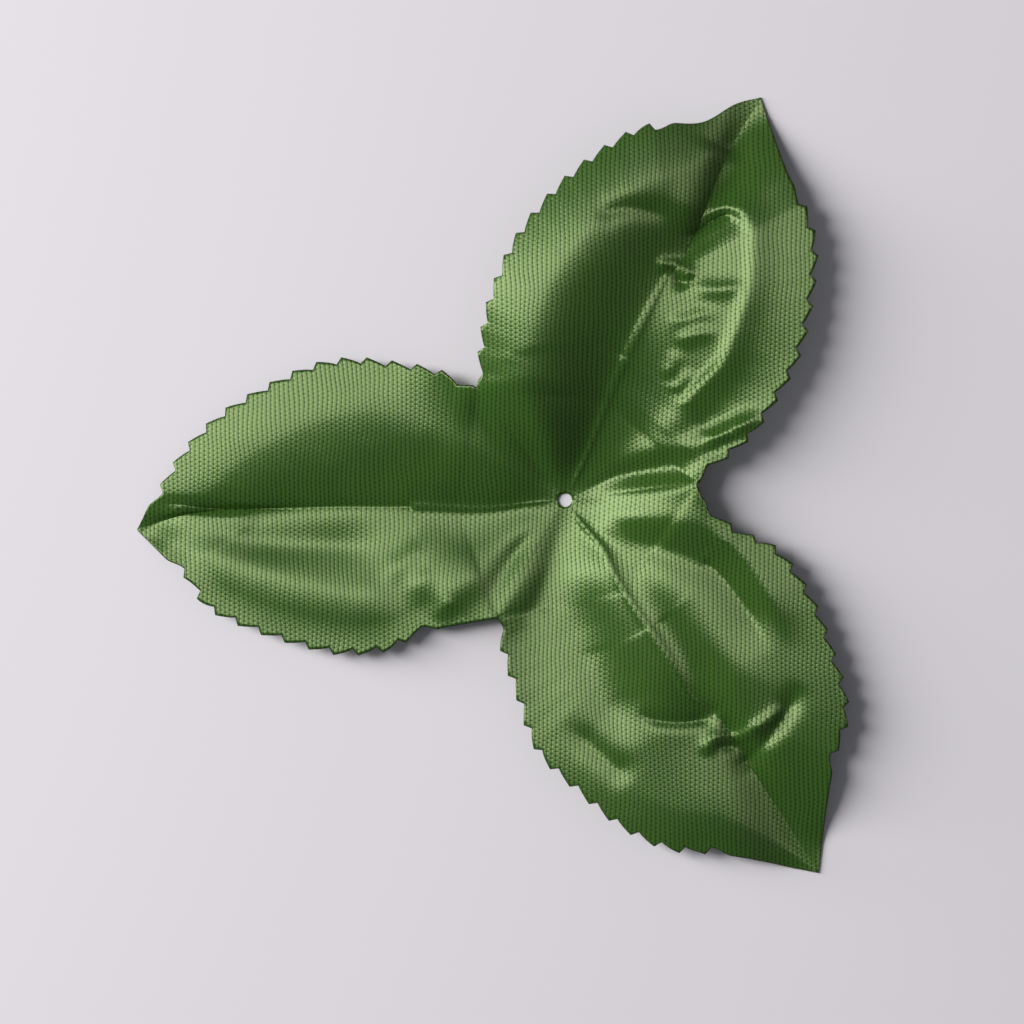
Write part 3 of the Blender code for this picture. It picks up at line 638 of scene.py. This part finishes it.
satinCloth = {
    "columnPitch": 0.54,        # mm from one lengthwise thread to the next
    "rowPitch": 0.53,
    "sway": 1.6,                # mm that the threads wander
    "swayScale": 0.09,
    "swayDetail": 2.0,
    "threadDepth": 0.06,
    "threadSag": 0.16,          # share of its depth that a thread dips where it goes under
    "threadUnevenness": 0.15,
    "slitShade": 0.20,               # painted shade: how dark it is between threads,
    "pinholeShade": 1.1,             # and how much darker at the corners
    "thread": (0.022, 0.074, 0.008, 1.0),
    # painted light: a lighter, yellower copy of the thread colour standing for cloth in sunlight,
    # laid in random patches
    "paintedSunlitColour": (0.058, 0.145, 0.010, 1.0),
    # painted highlight: a lighter colour laid on the top of each thread
    "float": (0.085, 0.210, 0.035, 1.0),
    "paintedCrownShare": 0.45,
    # painted shade: the dark colour between the threads
    "gapShade": (0.014, 0.045, 0.006, 1.0),
    "mottleScale": 0.12,
    "mottleDetail": 3.0,
    "mottleFloor": 0.35,
    "cutEdge": (0.07, 0.08, 0.05, 1.0),
    "edgeWidth": 0.22,
    "edgeColour": 0.8,          # shares of the cut edge's own colour, and of its dull gaps
    "edgeGaps": 0.5,
    "roughness": 0.42,
    "anisotropy": 1.0,
    "shine": 0.62,
    "refraction": 1.9,
    "shineTint": (0.80, 1.0, 0.48, 1.0),
    "translucency": 0.15,
    "translucentSunlit": 0.5,
}


def greenSatin():
    satin = Shader("green_satin_cloth")
    place = satin.add("ShaderNodeUVMap", settings={"uv_map": "weave"})
    u, v, _ = satin.split(place)
    noise = {"noise_dimensions": "3D"}
    sway = satin.add("ShaderNodeTexNoise", settings=noise, Vector=place,
                     Scale=satinCloth["swayScale"], Detail=satinCloth["swayDetail"])

    # x runs from the middle of a thread to its side, y from its top to where it goes under
    across = (u + (sway - 0.5) * satinCloth["sway"]) / satinCloth["columnPitch"]
    column = across.floor()
    x = abs(across - column - 0.5) * 2.0
    shifted = v / satinCloth["rowPitch"] + ((across + 0.5).floor() % 2.0) * 0.5
    y = abs(shifted - shifted.floor() - 0.5) * 2.0
    crown = (1.0 - x ** 2.0).above(0.0) ** 0.5 - y ** 2.0 * satinCloth["threadSag"]
    # painted shade: darker between threads and most at their corners
    pinholeShade = (x ** 3.0 * (y ** 4.0 * satinCloth["pinholeShade"] + satinCloth["slitShade"])).clamped()
    # painted highlight: mask of each thread's top, where the lighter colour goes
    paintedCrownLight = (1.0 - x * x) * (1.0 - y * y)

    # colour: deep threads with random patches of painted light in a yellower green, a painted
    # highlight on each thread's top, dull at the cut
    mottle = satin.add("ShaderNodeTexNoise", settings=noise, Vector=place,
                       Scale=satinCloth["mottleScale"], Detail=satinCloth["mottleDetail"])
    # painted light: noise picks the patches that get the lighter copy of the thread colour
    paintedSunlitPatches = (mottle - satinCloth["mottleFloor"]).clamped()
    colour = satin.mix(paintedSunlitPatches, satinCloth["thread"], satinCloth["paintedSunlitColour"])
    colour = satin.mix(paintedCrownLight * satinCloth["paintedCrownShare"], colour, satinCloth["float"])
    fromCut = satin.add("ShaderNodeAttribute", settings={"attribute_name": "fromCut"},
                        output="Fac")
    worn = (1.0 - fromCut / satinCloth["edgeWidth"]).clamped()
    colour = satin.mix(worn * satinCloth["edgeColour"], colour, satinCloth["cutEdge"])

    # shine along the threads, none in the gaps, whose dark colour is painted shade, and some
    # light through the cloth
    uneven = satin.add("ShaderNodeTexWhiteNoise", settings={"noise_dimensions": "1D"}, W=column)
    tangent = satin.add("ShaderNodeTangent",
                        settings={"direction_type": "UV_MAP", "uv_map": "weave"})
    bump = satin.add("ShaderNodeBump", Height=crown + uneven * satinCloth["threadUnevenness"],
                     Distance=satinCloth["threadDepth"] * mm, Strength=1.0)
    threads = satin.add("ShaderNodeBsdfPrincipled", Base_Color=colour, Tangent=tangent,
                        Normal=bump, Roughness=satinCloth["roughness"],
                        Anisotropic=satinCloth["anisotropy"], IOR=satinCloth["refraction"],
                        Specular_IOR_Level=satinCloth["shine"],
                        Specular_Tint=satinCloth["shineTint"])
    gaps = satin.add("ShaderNodeBsdfDiffuse", satinCloth["gapShade"])
    dull = (pinholeShade + worn * satinCloth["edgeGaps"]).clamped()
    weave = satin.add("ShaderNodeMixShader", dull, threads, gaps)
    through = satin.mix(satinCloth["translucentSunlit"], colour, satinCloth["paintedSunlitColour"])
    glow = satin.add("ShaderNodeBsdfTranslucent", Color=through)
    both = satin.add("ShaderNodeMixShader", satinCloth["translucency"], weave, glow)
    satin.add("ShaderNodeOutputMaterial", both)
    print("satin cloth ready")
    return satin.material


studio = {
    "floorColour": (0.80, 0.76, 0.80, 1.0),
    "floorRoughness": 0.75,
    "floorSize": 3.0,
    "lampDistance": 0.95,
    "lampWidth": 0.34,
    "lampTall": 1.40,
    "lampBearing": 164.0,       # degrees from +X, seen from above
    "lampHeight": 27.0,         # degrees above the horizon
    "lampPower": 19.0,
    "skyColour": (0.80, 0.84, 0.90, 1.0),
    "skyStrength": 0.17,
    "lens": 400.0,
    "sensor": 36.0,
    "viewWidth": 122.88,        # mm that the picture takes in
    "pictureCentre": (-6.36, -1.44),    # mm from the hole
    "clipShares": (0.1, 10.0),  # of the camera's distance
}


def makeFloor(scene):
    floorMesh = bmesh.new()
    bmesh.ops.create_grid(floorMesh, x_segments=1, y_segments=1, size=studio["floorSize"] / 2)
    mesh = bpy.data.meshes.new("floor")
    floorMesh.to_mesh(mesh)
    floorMesh.free()
    floor = bpy.data.objects.new("floor", mesh)
    scene.collection.objects.link(floor)
    paper = Shader("pale_floor")
    surface = paper.add("ShaderNodeBsdfPrincipled", Base_Color=studio["floorColour"],
                        Roughness=studio["floorRoughness"])
    paper.add("ShaderNodeOutputMaterial", surface)
    mesh.materials.append(paper.material)


def makeLight(scene):
    bearing = math.radians(studio["lampBearing"])
    height = math.radians(studio["lampHeight"])
    toLamp = Vector((math.cos(height) * math.cos(bearing), math.cos(height) * math.sin(bearing),
                     math.sin(height)))
    lamp = bpy.data.lights.new("window_light", "AREA")
    lamp.shape = "RECTANGLE"
    lamp.size = studio["lampWidth"]
    lamp.size_y = studio["lampTall"]
    lamp.energy = studio["lampPower"]
    lampObject = bpy.data.objects.new("window_light", lamp)
    lampObject.location = toLamp * studio["lampDistance"]
    lampObject.rotation_mode = "QUATERNION"
    lampObject.rotation_quaternion = toLamp.to_track_quat("Z", "Y")
    scene.collection.objects.link(lampObject)
    world = bpy.data.worlds.new("room_light")
    world.use_nodes = True
    sky = world.node_tree.nodes["Background"]
    sky.inputs["Color"].default_value = studio["skyColour"]
    sky.inputs["Strength"].default_value = studio["skyStrength"]
    scene.world = world
    scene.view_settings.view_transform = "Standard"


def makeCamera(scene, holeAt):
    camera = bpy.data.cameras.new("camera")
    camera.lens = studio["lens"]
    camera.sensor_width = studio["sensor"]
    distance = studio["viewWidth"] * mm * studio["lens"] / studio["sensor"]
    camera.clip_start, camera.clip_end = (distance * share for share in studio["clipShares"])
    cameraObject = bpy.data.objects.new("camera", camera)
    x, y = studio["pictureCentre"]
    cameraObject.location = (holeAt.x + x * mm, holeAt.y + y * mm, distance)
    scene.collection.objects.link(cameraObject)
    scene.camera = cameraObject


satinLeafObject, holeAt = makeSatinLeaf()
satinLeafObject.data.materials.append(greenSatin())
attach(satinLeafObject, "root")
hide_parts("leaf_sheet")

makeFloor(bpy.context.scene)
makeLight(bpy.context.scene)
makeCamera(bpy.context.scene, holeAt)
print("studio ready")
